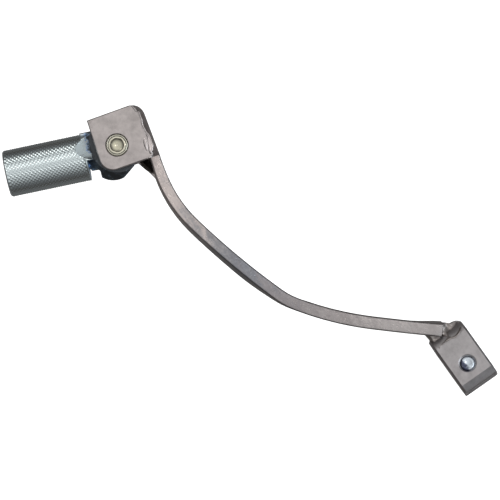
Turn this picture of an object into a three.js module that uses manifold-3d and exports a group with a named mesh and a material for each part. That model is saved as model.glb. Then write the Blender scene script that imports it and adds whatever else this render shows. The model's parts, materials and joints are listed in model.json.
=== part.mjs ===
// Motorcycle gear shift lever with a spring-loaded folding toe peg. Units: millimetres.
//
// Frame: the origin is the centre of the splined bore. +X runs forward along the motorcycle,
// +Y outboard along the gear shaft, +Z up. The lever is shown as fitted to the left side.
import * as THREE from "three";
import { mergeVertices } from "three/addons/utils/BufferGeometryUtils.js";
import Module from "manifold-3d";

const wasm = await Module();
wasm.setup();

const degrees = THREE.MathUtils.degToRad;

// ---------------------------------------------------------------- driving dimensions

const GAP = 0.3; // air left between two pieces that touch

// Clamp boss: a flat-topped eye round the gear shaft, split to the rear, its jaws tilted up.
const BOSS_TILT = 13; // degrees about the bore
const BOSS_HALF_HEIGHT = 8;
const BOSS_FRONT_RADIUS = 8.25;
const BOSS_WIDTH = 16;
const BOSS_EDGE = 0.8; // chamfer round the boss's side faces
const JAW_REACH = 18.7; // from the bore's centre to the rear end
const JAW_CHAMFER = 2.6;
const SLIT = 1.5;
const SPLINE_TIP_RADIUS = 5;
const SPLINE_ROOT_RADIUS = 5.6;
const SPLINE_TEETH = 24;

// Pinch bolt: M6, put in from below and threaded into the upper jaw.
const PINCH_X = -9.7;
const PINCH_RADIUS = 3;
const PINCH_HOLE_RADIUS = 3.15;
const PINCH_HOLE_CHAMFER = 0.6;
const PINCH_LENGTH_ABOVE = 7.7; // tip above the slit's middle
const PINCH_POINT_CHAMFER = 0.55;
const PINCH_CUP_RADIUS = 1.7; // drilled cup in the bolt's tip
const PINCH_CUP_DEPTH = 0.9;
const PINCH_HEX = 10; // across flats
const PINCH_HEAD_HEIGHT = 4.5;
const PINCH_FLANGE_RADIUS = 6.3;
const PINCH_FLANGE_HEIGHT = 1.4;
const PINCH_WASHER_RADIUS = 5.9;
const PINCH_WASHER_HEIGHT = 1.6;

// Weld metal in the corners between the bar and the boss, in plan.
const CLAMP_WELD_HALF_HEIGHT = 5.5;
const INBOARD_FILLET = [[14, 4.5], [11, -1], [9.9, -4], [8.9, -7], [5, -7.4], [4, -1.5], [8, 1.5]];
const OUTBOARD_FILLET = [[10.6, 7.5], [7.4, 7.5], [4.4, 7.3], [3, 6.9], [3, 2.5], [6.5, 2.8]];

// Fork head: its origin is on the pivot's axis, x along the web and y towards the toe peg.
const PIVOT = { x: 147.4, y: 66.2, z: 9.5 };
const HEAD_TURN = degrees(-14.5);
const PLATE_THICKNESS = 4;
const FORK_HALF_GAP = 4.5; // from mid height to each plate
const PLATE_EDGE = 0.35; // chamfer round each plate's faces
const PLATE_OUTBOARD_CORNER = { x: 13.6, y: 8.1 };
const PLATE_REAR_ARC = { x: -3.7, y: 3.2, radius: 5.6 };
const PLATE_INBOARD_REAR_ARC = { x: -7.6, y: -10.7, radius: 2 };
const PLATE_INBOARD_FRONT_ARC = { x: 10.4, y: -9.7, radius: 3 };
const WEB_Y = -12.65;
const WEB_WIDTH = 4.2;
const WEB_FRONT_X = 13.5;
const WEB_CORNER_RADIUS = 4.9;
const WEB_REAR_X = -9;
// A gusset on the lower plate tapers back along the bar, with a raised rim along its free edge.
const GUSSET_RIM = [[-8, -4.6], [-9.7, -5.2], [-12.8, -6.9], [-14.9, -8.2], [-19, -10]];
const GUSSET_RIM_WIDTH = 1.2;
const GUSSET_FLOOR = 0.8; // thickness at the bottom of the hollow inside the rim
const GUSSET_SLOPE = 50; // degrees, down from the rim into the hollow
const WEB_HEIGHT = 2 * (FORK_HALF_GAP - GAP);

// The bead between each fork plate and the web.
const HEAD_WELD_REAR_X = -9.2;
const HEAD_WELD_FRONT_X = 10.4;
const HEAD_WELD_WIDTH = 1.9; // out from the web's middle plane, where the bead is fullest
const HEAD_WELD_HEIGHT = PLATE_THICKNESS - 0.6;
const HEAD_WELD_STEPS = 24;

// Arm: a flat bar on edge. The middle of its top face runs from the web back to the boss
// in bends of [length, turn in degrees].
const ARM_BENDS = [
  [6, -2],
  [26.5, 28],
  [45.5, 7],
  [8, 15.5],
  [32.5, 14],
  [28.7, 1.5],
];
const ARM_EDGE = 0.7; // rounding of the bar's long edges
const ARM_WIDTH = 4.8;
const ARM_WIDTH_AT_BOSS = 5.3;
const ARM_HEIGHT_AT_BOSS = 11;
const ARM_LEVEL_AT_BOSS = 1.5; // height of the bar's middle
const ARM_DROP_START = 40; // the bar drops and widens between these distances from the web
const ARM_DROP_END = 110;
const ARM_ROLL = degrees(11); // the bar leans inboard over its outer half
const ARM_ROLL_AT_HEAD = degrees(5);
const ARM_ROLL_AT_BOSS = degrees(-6);
const ARM_STEP = 3.5;

// Pivot screw (M7 shoulder screw), its nut and washers.
const SCREW_HEAD_RADIUS = 4.5;
const SCREW_SHANK_RADIUS = 3.5;
const SCREW_HEAD_EDGE = 0.35;
const SCREW_TIP_CHAMFER = 0.6;
const SCREW_THREAD_RELIEF = 0.1; // the threaded end is this much thinner than the shoulder
const SCREW_GROOVE = [0.65, 0.8, 0.95]; // the groove's outer rim, floor and inner rim, in from the side
const SCREW_GROOVE_DEPTH = 0.25;
const SCREW_HEAD_BOTTOM = 5.9;
const SCREW_TIP = -15.4;
const COUNTERBORE_RADIUS = 4.8;
const COUNTERBORE_FLOOR = 5.6;
const SHANK_HOLE_RADIUS = 3.7;
const HEX_KEY = 5;
const HEX_KEY_DEPTH = 2.4;
const NUT_HEX = 11;
const NUT_HEIGHT = 4;
const NUT_WASHER_RADIUS = 7;
const NUT_WASHER_HEIGHT = 1.3;
const THRUST_WASHER_RADIUS = 7.4;
const THRUST_WASHER_HEIGHT = 0.8;
const FIT = 0.15; // axial play at each washer face

// Toe peg: its origin is on the pivot's axis, y along the peg and x forward.
const PEG_TURN = degrees(-23.1);
const PEG_RADIUS = 9.7;
const PEG_AXIS_X = -2;
const PEG_END = 46.9;
const PEG_SHOULDER = 13.4;
const PEG_END_CHAMFER = 0.5;
const TONGUE_HALF = FORK_HALF_GAP - THRUST_WASHER_HEIGHT - 2 * FIT;
const TONGUE_FRONT_X = 8;
const NECK_REAR_X = -8;
const NECK_FILLET = 1.2;
const LOBE = { x: -4.6, y: 3, radius: 9.1, start: degrees(138), end: degrees(240) };
const FOLD_LIMIT = degrees(60);
const HEEL_RADIUS = 10.2; // clears the web as the peg folds
const SWEEP_RADIUS = 11; // clears the fork plates as the peg folds
const LOBE_SLOPE = degrees(42); // the tongue's faces fall away beyond the sweep radius
const RAMP_REAR_X = PEG_AXIS_X - 1.6;
const RAMP_FOOT_Y = 11;
const RAMP_SLOPE = degrees(40);
const RAMP_RADIUS = 8;
const RAMP_MIDDLE_X = PEG_AXIS_X + 5.5;

// Knurl: diamonds pressed into the grip, from the shoulder to the end chamfer.
const KNURL_START = PEG_SHOULDER + 0.5;
const KNURL_END = PEG_END - 1.2;
const KNURL_AROUND = 38;
const KNURL_DEPTH = 0.4;

// Return spring: a torsion spring round the pivot, inside a pocket in the tongue's underside.
const SPRING_WIRE_RADIUS = 0.6;
const SPRING_RADIUS = 6.6;
const SPRING_TURNS = 2.25;
const SPRING_PITCH = 1.35;
const SPRING_LOW = -2.4; // lowest turn, from mid height
const SPRING_LEG_LOW = -6.6;
const SPRING_LEG_HIGH = 2.4;
const SPRING_LEG_HOLE_RADIUS = 0.95;
const POCKET_INNER_RADIUS = 5.6;
const POCKET_OUTER_RADIUS = 7.6;
const POCKET_CEILING = 1.5;
const SPRING_START = degrees(160); // where the lower leg enters the lower plate, in the head's frame
const SPRING_BLIND_HOLE = 7;
const SPRING_STEPS = 110;

// ---------------------------------------------------------------- materials

function metal(name, color, roughness) {
  return new THREE.MeshStandardMaterial({ name, color, metalness: 1, roughness });
}

const forgedSteel = () => metal("forged_steel", 0xa39c9b, 0.45);
const weldMetal = () => metal("weld_metal", 0x8f8886, 0.5);
const zincPeg = () => metal("zinc_plated_steel", 0xa8aeb0, 0.3);
const yellowZinc = () => metal("yellow_zinc_steel", 0xb9bba6, 0.3);
const boltSteel = () => metal("bolt_steel", 0xbfc8ce, 0.3);
const springSteel = () => metal("spring_steel", 0x3c3c40, 0.4);
const bronze = () => metal("bronze", 0xa07a3e, 0.4);

// ---------------------------------------------------------------- solids

function solid(geometry) {
  const bare = geometry.clone();
  bare.deleteAttribute("normal");
  bare.deleteAttribute("uv");
  const merged = mergeVertices(bare, 1e-4);
  return new wasm.Manifold(
    new wasm.Mesh({
      numProp: 3,
      vertProperties: Float32Array.from(merged.attributes.position.array),
      triVerts: Uint32Array.from(merged.index.array),
    }),
  );
}

function geometryOf(body) {
  const mesh = body.getMesh();
  const geometry = new THREE.BufferGeometry();
  geometry.setAttribute("position", new THREE.BufferAttribute(Float32Array.from(mesh.vertProperties), 3));
  geometry.setIndex(new THREE.BufferAttribute(Uint32Array.from(mesh.triVerts), 1));
  geometry.computeVertexNormals();
  return geometry;
}

function piece(name, body, material) {
  const mesh = new THREE.Mesh(geometryOf(body), material);
  mesh.name = name;
  return mesh;
}

// An outline in x and y, drawn up from low to high, with its edges bevelled.
function slabGeometry(shape, low, high, bevel = 0, curveSegments = 12) {
  const geometry = new THREE.ExtrudeGeometry(shape, {
    depth: high - low - 2 * bevel,
    bevelEnabled: bevel > 0,
    bevelThickness: bevel,
    bevelSize: bevel,
    bevelOffset: -bevel,
    bevelSegments: 1,
    curveSegments,
  });
  return geometry.translate(0, 0, low + bevel);
}

const slab = (...sizes) => solid(slabGeometry(...sizes));

// A profile of [radius, height] pairs turned about the z axis.
function turnedGeometry(profile, sides = 32) {
  const points = profile.map(([radius, height]) => new THREE.Vector2(radius, height));
  return new THREE.LatheGeometry(points, sides).rotateX(Math.PI / 2);
}

function diskGeometry(radius, low, high, sides = 32, chamfer = 0) {
  const rim = chamfer > 0
    ? [[radius - chamfer, low], [radius, low + chamfer], [radius, high - chamfer], [radius - chamfer, high]]
    : [[radius, low], [radius, high]];
  return turnedGeometry([[0, low], ...rim, [0, high]], sides);
}

const disk = (...sizes) => solid(diskGeometry(...sizes));

function ring(outer, inner, low, high, sides = 32) {
  return disk(outer, low, high, sides).subtract(disk(inner, low - 1, high + 1, sides));
}

function hexagon(acrossFlats) {
  const shape = new THREE.Shape();
  const corner = acrossFlats / Math.sqrt(3);
  for (let side = 0; side < 6; side += 1) {
    const angle = degrees(60 * side);
    const point = [corner * Math.cos(angle), corner * Math.sin(angle)];
    if (side === 0) shape.moveTo(...point);
    else shape.lineTo(...point);
  }
  return shape;
}

function polygon(points) {
  return new THREE.Shape(points.map(([x, y]) => new THREE.Vector2(x, y)));
}

function block(low, high) {
  const size = high.map((value, axis) => value - low[axis]);
  const middle = high.map((value, axis) => (value + low[axis]) / 2);
  return solid(new THREE.BoxGeometry(...size).translate(...middle));
}

// A skin over rings of equal point count, closed by a flat fan at each end. Each four-sided patch
// is split along its shorter diagonal, which makes a knurl's grooves straight.
function skin(rings) {
  const count = rings[0].length;
  const points = rings.flat();
  const positions = points.flatMap((point) => [point.x, point.y, point.z]);
  const faces = [];
  for (let row = 0; row + 1 < rings.length; row += 1) {
    for (let side = 0; side < count; side += 1) {
      const here = row * count + side;
      const next = row * count + ((side + 1) % count);
      const rising = points[here].distanceTo(points[next + count]);
      const falling = points[next].distanceTo(points[here + count]);
      if (rising < falling) faces.push(here, next, next + count, here, next + count, here + count);
      else faces.push(here, next, here + count, next, next + count, here + count);
    }
  }
  const last = (rings.length - 1) * count;
  for (let side = 1; side + 1 < count; side += 1) {
    faces.push(0, side + 1, side);
    faces.push(last, last + side, last + side + 1);
  }
  const geometry = new THREE.BufferGeometry();
  geometry.setAttribute("position", new THREE.Float32BufferAttribute(positions, 3));
  geometry.setIndex(faces);
  return geometry;
}

// ---------------------------------------------------------------- arm

function fromHead(x, y) {
  const turned = new THREE.Vector2(x, y).rotateAround(new THREE.Vector2(), HEAD_TURN);
  return turned.add(new THREE.Vector2(PIVOT.x, PIVOT.y));
}

// Stations along the bar: its plan position, heading and distance from the web's front end.
function armStations() {
  const place = fromHead(WEB_FRONT_X, WEB_Y);
  let heading = HEAD_TURN + Math.PI;
  let distance = WEB_REAR_X - WEB_FRONT_X;
  const stations = [{ x: place.x, y: place.y, heading, distance }];
  const legs = [[WEB_FRONT_X - WEB_REAR_X, 0, 1]].concat(
    ARM_BENDS.map(([length, turn]) => [length, degrees(turn), Math.ceil(length / ARM_STEP)]),
  );
  for (const [length, turn, steps] of legs) {
    for (let step = 0; step < steps; step += 1) {
      const half = turn / steps / 2;
      heading += half;
      place.x += (length / steps) * Math.cos(heading);
      place.y += (length / steps) * Math.sin(heading);
      heading += half;
      distance += length / steps;
      stations.push({ x: place.x, y: place.y, heading, distance });
    }
  }
  return stations;
}

// The bar's rounded rectangular section, counter-clockwise seen from the end it starts at.
function barSection(width, height) {
  const across = width / 2 - ARM_EDGE;
  const up = height / 2 - ARM_EDGE;
  const section = [];
  for (let corner = 0; corner < 4; corner += 1) {
    const middleX = corner === 0 || corner === 3 ? across : -across;
    const middleZ = corner < 2 ? up : -up;
    for (let step = 0; step <= 2; step += 1) {
      const angle = (corner + step / 2) * (Math.PI / 2);
      section.push([middleX + ARM_EDGE * Math.cos(angle), middleZ + ARM_EDGE * Math.sin(angle)]);
    }
  }
  return section;
}

// The bar stands square at the web, leans inboard over its outer half and outboard at the boss.
function armRoll(distance, fullLength) {
  const { lerp, smoothstep } = THREE.MathUtils;
  const leaving = ARM_ROLL_AT_HEAD * smoothstep(distance, 0, 10);
  const outer = lerp(leaving, ARM_ROLL, smoothstep(distance, 6, 40));
  const inner = ARM_ROLL_AT_BOSS * smoothstep(distance, fullLength - 14, fullLength);
  return lerp(outer, inner, smoothstep(distance, 60, 92));
}

function barRing(station, fullLength, grow) {
  const along = THREE.MathUtils.clamp(station.distance / fullLength, 0, 1);
  const drop = THREE.MathUtils.smoothstep(station.distance, ARM_DROP_START, ARM_DROP_END);
  const height = THREE.MathUtils.lerp(WEB_HEIGHT, ARM_HEIGHT_AT_BOSS, along ** 1.5);
  const level = THREE.MathUtils.lerp(PIVOT.z, ARM_LEVEL_AT_BOSS, drop);
  const leaving = THREE.MathUtils.smoothstep(station.distance, 0, 12);
  const outer = THREE.MathUtils.lerp(WEB_WIDTH, ARM_WIDTH, leaving);
  const width = THREE.MathUtils.lerp(outer, ARM_WIDTH_AT_BOSS, drop);
  const roll = armRoll(station.distance, fullLength);
  const side = new THREE.Vector3(-Math.sin(station.heading), Math.cos(station.heading), 0);
  return barSection(width + 2 * grow, height + 2 * grow).map(([across, up]) => {
    const flat = across * Math.cos(roll) + (up - height / 2) * Math.sin(roll);
    const rise = up * Math.cos(roll) - across * Math.sin(roll);
    return new THREE.Vector3(station.x, station.y, level + rise).addScaledVector(side, flat);
  });
}

function bar(grow = 0) {
  const stations = armStations();
  const fullLength = stations.at(-1).distance;
  return solid(skin(stations.map((station) => barRing(station, fullLength, grow))));
}

// What is cut off to round the web's front end on its inboard corner.
function webCorner() {
  const radius = WEB_CORNER_RADIUS;
  const place = { x: WEB_FRONT_X - radius, y: WEB_Y - WEB_WIDTH / 2 + radius };
  const low = [place.x, place.y - 2 * radius, -WEB_HEIGHT];
  const square = block(low, [place.x + 2 * radius, place.y, WEB_HEIGHT]);
  return square.subtract(disk(radius, -2 * WEB_HEIGHT, 2 * WEB_HEIGHT, 40).translate([place.x, place.y, 0]));
}

function arm() {
  const corner = webCorner().rotate([0, 0, THREE.MathUtils.radToDeg(HEAD_TURN)]);
  const placedCorner = corner.translate([PIVOT.x, PIVOT.y, PIVOT.z]);
  return bar().subtract(placedCorner).subtract(tiltedBoss(GAP));
}

// ---------------------------------------------------------------- clamp boss

// An outline in x and z, drawn across the boss's width.
function acrossBoss(shape, width, bevel = 0, curveSegments = 12) {
  const geometry = slabGeometry(shape, -width / 2, width / 2, bevel, curveSegments);
  return solid(geometry.rotateX(Math.PI / 2));
}

function bossOutside(grow = 0) {
  const height = BOSS_HALF_HEIGHT + grow;
  const reach = JAW_REACH + grow;
  const beyond = reach + BOSS_EDGE;
  const breakAngle = Math.asin(BOSS_HALF_HEIGHT / BOSS_FRONT_RADIUS);
  const shape = new THREE.Shape();
  const drop = JAW_CHAMFER + BOSS_EDGE;
  shape.moveTo(-reach + JAW_CHAMFER, height);
  shape.lineTo(-beyond, height - drop);
  shape.lineTo(-beyond, drop - height);
  shape.lineTo(-reach + JAW_CHAMFER, -height);
  shape.absarc(0, 0, BOSS_FRONT_RADIUS + grow, -breakAngle, breakAngle);
  const width = BOSS_WIDTH + 2 * grow;
  const squareEnd = block([-reach, -width, -height], [width, width, height]);
  return acrossBoss(shape, width, BOSS_EDGE, 16).intersect(squareEnd);
}

// The boss's outside as it sits on the shaft, with its jaws tilted up.
function tiltedBoss(grow) {
  return bossOutside(grow).rotate([0, BOSS_TILT, 0]);
}

function splineBore() {
  const points = [];
  for (let tooth = 0; tooth < SPLINE_TEETH; tooth += 1) {
    for (const [radius, place] of [[SPLINE_ROOT_RADIUS, 0], [SPLINE_TIP_RADIUS, 0.5]]) {
      const angle = ((tooth + place) / SPLINE_TEETH) * 2 * Math.PI;
      points.push([radius * Math.cos(angle), radius * Math.sin(angle)]);
    }
  }
  return acrossBoss(polygon(points), BOSS_WIDTH + 2);
}

// Moves something built about the z axis to the pinch bolt's axis.
function alongPinchBolt(geometry) {
  return solid(geometry.translate(PINCH_X, 0, 0));
}

function pinchHole() {
  const beyond = BOSS_HALF_HEIGHT + 1;
  const rim = BOSS_HALF_HEIGHT - PINCH_HOLE_CHAMFER;
  const profile = [
    [0, -beyond],
    [PINCH_HOLE_RADIUS, -beyond],
    [PINCH_HOLE_RADIUS, rim],
    [PINCH_HOLE_RADIUS + beyond - rim, beyond],
    [0, beyond],
  ];
  return alongPinchBolt(turnedGeometry(profile, 40));
}

function clampBoss() {
  const slit = block([-JAW_REACH - 1, -BOSS_WIDTH, -SLIT / 2], [0, BOSS_WIDTH, SLIT / 2]);
  return bossOutside().subtract(splineBore()).subtract(slit).subtract(pinchHole());
}

function pinchWasher() {
  const top = -BOSS_HALF_HEIGHT - GAP;
  const washer = diskGeometry(PINCH_WASHER_RADIUS, top - PINCH_WASHER_HEIGHT, top);
  const hole = diskGeometry(PINCH_RADIUS + GAP, top - PINCH_WASHER_HEIGHT - 1, top + 1);
  return alongPinchBolt(washer).subtract(alongPinchBolt(hole));
}

function pinchBolt() {
  const seat = -BOSS_HALF_HEIGHT - PINCH_WASHER_HEIGHT - 2 * GAP;
  const flange = diskGeometry(PINCH_FLANGE_RADIUS, seat - PINCH_FLANGE_HEIGHT, seat, 32, 0.3);
  const shank = diskGeometry(PINCH_RADIUS, seat - 1, PINCH_LENGTH_ABOVE, 32, PINCH_POINT_CHAMFER);
  const cup = turnedGeometry([
    [0, PINCH_LENGTH_ABOVE - PINCH_CUP_DEPTH],
    [2 * PINCH_CUP_RADIUS, PINCH_LENGTH_ABOVE + PINCH_CUP_DEPTH],
    [0, PINCH_LENGTH_ABOVE + PINCH_CUP_DEPTH],
  ]);
  const low = seat - PINCH_FLANGE_HEIGHT - PINCH_HEAD_HEIGHT;
  const head = slabGeometry(hexagon(PINCH_HEX), low, seat - 0.5, 0.4);
  const body = wasm.Manifold.union([flange, shank, head].map(alongPinchBolt));
  return body.subtract(alongPinchBolt(cup));
}

// Weld metal either side of the bar, from the bar's flank to the boss's front corners.
function clampWeld(outline) {
  const fillet = slab(polygon(outline), -CLAMP_WELD_HALF_HEIGHT, CLAMP_WELD_HALF_HEIGHT, 1.2);
  return fillet.subtract(bar(GAP)).subtract(tiltedBoss(GAP));
}

// ---------------------------------------------------------------- fork head

function plateOutline() {
  const rear = PLATE_REAR_ARC;
  const inboardRear = PLATE_INBOARD_REAR_ARC;
  const inboardFront = PLATE_INBOARD_FRONT_ARC;
  const shape = new THREE.Shape();
  shape.moveTo(PLATE_OUTBOARD_CORNER.x, PLATE_OUTBOARD_CORNER.y);
  shape.lineTo(rear.x, rear.y + rear.radius);
  shape.absarc(rear.x, rear.y, rear.radius, Math.PI / 2, Math.PI);
  shape.absarc(inboardRear.x, inboardRear.y, inboardRear.radius, Math.PI, 1.5 * Math.PI);
  shape.absarc(inboardFront.x, inboardFront.y, inboardFront.radius, -Math.PI / 2, 0);
  return shape;
}

function upperPlate() {
  const low = FORK_HALF_GAP;
  const plate = slab(plateOutline(), low, low + PLATE_THICKNESS, PLATE_EDGE);
  const hole = disk(SHANK_HOLE_RADIUS, low - 1, low + PLATE_THICKNESS);
  const counterbore = disk(COUNTERBORE_RADIUS, COUNTERBORE_FLOOR, low + PLATE_THICKNESS + 1, 40);
  return plate.subtract(hole).subtract(counterbore);
}

function springLegHole(angle, low, high) {
  const hole = disk(SPRING_LEG_HOLE_RADIUS, low, high, 12);
  return hole.translate([SPRING_RADIUS * Math.cos(angle), SPRING_RADIUS * Math.sin(angle), 0]);
}

// Everything above a plane that slopes down from the gusset's rim towards the bar.
function gussetHollow(high) {
  const [start, end] = [GUSSET_RIM[0], GUSSET_RIM.at(-1)];
  const along = Math.atan2(start[1] - end[1], start[0] - end[0]);
  const above = block([-30, -30, 0], [30, 30, 30]).rotate([GUSSET_SLOPE, 0, 0]);
  const turned = above.rotate([0, 0, THREE.MathUtils.radToDeg(along)]);
  return turned.translate([start[0], start[1] - GUSSET_RIM_WIDTH, high]);
}

function gusset(low, high) {
  const inner = GUSSET_RIM.map(([x, y]) => [x, y - GUSSET_RIM_WIDTH]);
  const rim = slab(polygon([...GUSSET_RIM, ...inner.toReversed()]), low, high, 0.2);
  const outline = polygon([...GUSSET_RIM, [-19, WEB_Y], [-8, WEB_Y]]);
  const floor = slab(outline, low, low + GUSSET_FLOOR, 0.2);
  const side = slab(outline, low + GUSSET_FLOOR / 2, high - 0.3).subtract(gussetHollow(high));
  return floor.add(side).add(rim);
}

function lowerPlate() {
  const low = -FORK_HALF_GAP - PLATE_THICKNESS;
  const high = -FORK_HALF_GAP;
  const plate = slab(plateOutline(), low, high, PLATE_EDGE).add(gusset(low, high));
  const legHole = springLegHole(SPRING_START, -SPRING_BLIND_HOLE, 0);
  return plate.subtract(disk(SHANK_HOLE_RADIUS, low - 1, high + 1)).subtract(legHole);
}

// A bead in the corner between a plate and the web, swollen and thinned along its length.
function headWeld(side) {
  const rings = [];
  const foot = FORK_HALF_GAP + GAP / 2;
  const back = WEB_Y - GAP - 0.1;
  for (let step = 0; step <= HEAD_WELD_STEPS; step += 1) {
    const along = step / HEAD_WELD_STEPS;
    const x = THREE.MathUtils.lerp(HEAD_WELD_REAR_X, HEAD_WELD_FRONT_X, along);
    const fade = Math.min(1, 0.25 + 4 * along * (1 - along));
    const swell = fade * (0.85 + 0.15 * Math.sin(9.5 * along + 1));
    const outer = back - (HEAD_WELD_WIDTH - 0.4) * swell;
    const top = foot + HEAD_WELD_HEIGHT * swell;
    const crown = (outer + back) / 2;
    const face = [[back, top], [crown, top - 0.5], [outer + 0.1, foot + 0.8]];
    const section = [...face, [outer, foot], [back, foot]];
    const turned = side > 0 ? section : section.toReversed();
    rings.push(turned.map(([y, z]) => new THREE.Vector3(x, y, side * z)));
  }
  return solid(skin(rings));
}

// ---------------------------------------------------------------- pivot

function pivotScrew() {
  const top = FORK_HALF_GAP + PLATE_THICKNESS - 0.1;
  const thread = SCREW_SHANK_RADIUS - SCREW_THREAD_RELIEF;
  const profile = [
    [0, SCREW_TIP],
    [thread - SCREW_TIP_CHAMFER, SCREW_TIP],
    [thread, SCREW_TIP + SCREW_TIP_CHAMFER],
    [thread, -FORK_HALF_GAP],
    [SCREW_SHANK_RADIUS, -FORK_HALF_GAP + SCREW_THREAD_RELIEF],
    [SCREW_SHANK_RADIUS, SCREW_HEAD_BOTTOM],
    [SCREW_HEAD_RADIUS, SCREW_HEAD_BOTTOM],
    [SCREW_HEAD_RADIUS, top - SCREW_HEAD_EDGE],
    [SCREW_HEAD_RADIUS - SCREW_HEAD_EDGE, top],
    [SCREW_HEAD_RADIUS - SCREW_GROOVE[0], top],
    [SCREW_HEAD_RADIUS - SCREW_GROOVE[1], top - SCREW_GROOVE_DEPTH],
    [SCREW_HEAD_RADIUS - SCREW_GROOVE[2], top],
    [0, top],
  ];
  const floor = top - HEX_KEY_DEPTH;
  const socket = slab(hexagon(HEX_KEY), floor, top + 1);
  const drillCone = solid(turnedGeometry([[0, floor - 1], [HEX_KEY / 2, floor + 0.05], [0, top]]));
  return solid(turnedGeometry(profile, 48)).subtract(socket).subtract(drillCone);
}

function pivotNut() {
  const high = -FORK_HALF_GAP - PLATE_THICKNESS - NUT_WASHER_HEIGHT - 2 * 0.2;
  const nut = slab(hexagon(NUT_HEX), high - NUT_HEIGHT, high, 0.4);
  return nut.subtract(disk(SCREW_SHANK_RADIUS + 0.1, high - NUT_HEIGHT - 1, high + 1));
}

function nutWasher() {
  const high = -FORK_HALF_GAP - PLATE_THICKNESS - 0.2;
  return ring(NUT_WASHER_RADIUS, SHANK_HOLE_RADIUS, high - NUT_WASHER_HEIGHT, high);
}

// The upper thrust washer is full width. The lower one sits inside the spring pocket.
function thrustWasher(side) {
  const near = FORK_HALF_GAP - FIT - THRUST_WASHER_HEIGHT;
  const far = FORK_HALF_GAP - FIT;
  if (side > 0) return ring(THRUST_WASHER_RADIUS, SHANK_HOLE_RADIUS, near, far);
  return ring(POCKET_INNER_RADIUS, SHANK_HOLE_RADIUS, -far, -near);
}

// ---------------------------------------------------------------- return spring

class SpringPath extends THREE.Curve {
  getPoint(t, target = new THREE.Vector3()) {
    const lowLeg = SPRING_LOW - SPRING_LEG_LOW;
    const coil = 2 * Math.PI * SPRING_RADIUS * SPRING_TURNS;
    const coilTop = SPRING_LOW + SPRING_PITCH * SPRING_TURNS;
    const highLeg = SPRING_LEG_HIGH - coilTop;
    const travel = t * (lowLeg + coil + highLeg);
    const turned = THREE.MathUtils.clamp((travel - lowLeg) / coil, 0, 1);
    const angle = SPRING_START + turned * SPRING_TURNS * 2 * Math.PI;
    const below = Math.min(0, travel - lowLeg);
    const above = Math.max(0, travel - lowLeg - coil);
    const height = SPRING_LOW + SPRING_PITCH * SPRING_TURNS * turned + below + above;
    return target.set(SPRING_RADIUS * Math.cos(angle), SPRING_RADIUS * Math.sin(angle), height);
  }
}

function returnSpring() {
  const section = new THREE.Shape();
  section.absarc(0, 0, SPRING_WIRE_RADIUS, 0, 2 * Math.PI);
  const geometry = new THREE.ExtrudeGeometry(section, {
    extrudePath: new SpringPath(),
    steps: SPRING_STEPS,
    curveSegments: 4,
    bevelEnabled: false,
  });
  return solid(geometry);
}

// ---------------------------------------------------------------- toe peg

// The plain round peg, lying along y about the grip's own axis.
function gripRound(low, high) {
  const geometry = diskGeometry(PEG_RADIUS, low, high, 60);
  return solid(geometry.rotateX(-Math.PI / 2).translate(PEG_AXIS_X, 0, 0));
}

// The grip's skin is a grid of diamonds: groove crossings at full depth, crests at full radius.
function knurledGrip() {
  const pitch = (2 * Math.PI * PEG_RADIUS) / KNURL_AROUND;
  const rows = 2 * Math.round((KNURL_END - KNURL_START) / pitch);
  const count = 2 * KNURL_AROUND;
  const ringAt = (y, radiusOf) => {
    const points = [];
    for (let side = 0; side < count; side += 1) {
      const angle = (-side / count) * 2 * Math.PI;
      const radius = radiusOf(side);
      points.push(new THREE.Vector3(PEG_AXIS_X + radius * Math.cos(angle), y, radius * Math.sin(angle)));
    }
    return points;
  };
  const plain = () => PEG_RADIUS - KNURL_DEPTH / 2;
  const rings = [ringAt(KNURL_START - 2, plain), ringAt(KNURL_START, plain)];
  for (let row = 0; row <= rows; row += 1) {
    const y = THREE.MathUtils.lerp(KNURL_START + 0.5, KNURL_END, row / rows);
    rings.push(ringAt(y, (side) => PEG_RADIUS - ((side + row) % 2) * KNURL_DEPTH));
  }
  rings.push(ringAt(PEG_END - PEG_END_CHAMFER, plain));
  rings.push(ringAt(PEG_END, () => PEG_RADIUS - KNURL_DEPTH / 2 - PEG_END_CHAMFER));
  return solid(skin(rings));
}

// The tongue's plan: a neck off the grip, a lobe behind the pivot, then a heel round the pivot.
function tongueOutline() {
  const inset = PEG_SHOULDER + 1;
  const lobeTop = LOBE.y + LOBE.radius * Math.sin(LOBE.start);
  const heelStart = Math.PI + Math.asin(-(LOBE.y + LOBE.radius * Math.sin(LOBE.end)) / HEEL_RADIUS);
  const shape = new THREE.Shape();
  shape.moveTo(TONGUE_FRONT_X, inset);
  shape.lineTo(NECK_REAR_X, inset);
  shape.lineTo(NECK_REAR_X, lobeTop + NECK_FILLET);
  shape.absarc(NECK_REAR_X - NECK_FILLET, lobeTop + NECK_FILLET, NECK_FILLET, 0, -Math.PI / 2, true);
  shape.absarc(LOBE.x, LOBE.y, LOBE.radius, LOBE.start, LOBE.end);
  shape.absarc(0, 0, HEEL_RADIUS, heelStart, 1.5 * Math.PI);
  shape.lineTo(TONGUE_FRONT_X, -HEEL_RADIUS);
  return shape;
}

// Room for the web: its face at rest and its face at full fold.
function webRoom() {
  const face = WEB_Y + WEB_WIDTH / 2 + GAP;
  const beyondFace = (turn) =>
    block([-30, -30, -20], [30, face, 20]).rotate([0, 0, THREE.MathUtils.radToDeg(turn)]);
  const atRest = HEAD_TURN - PEG_TURN;
  return beyondFace(atRest).add(beyondFace(atRest - FOLD_LIMIT));
}

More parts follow.
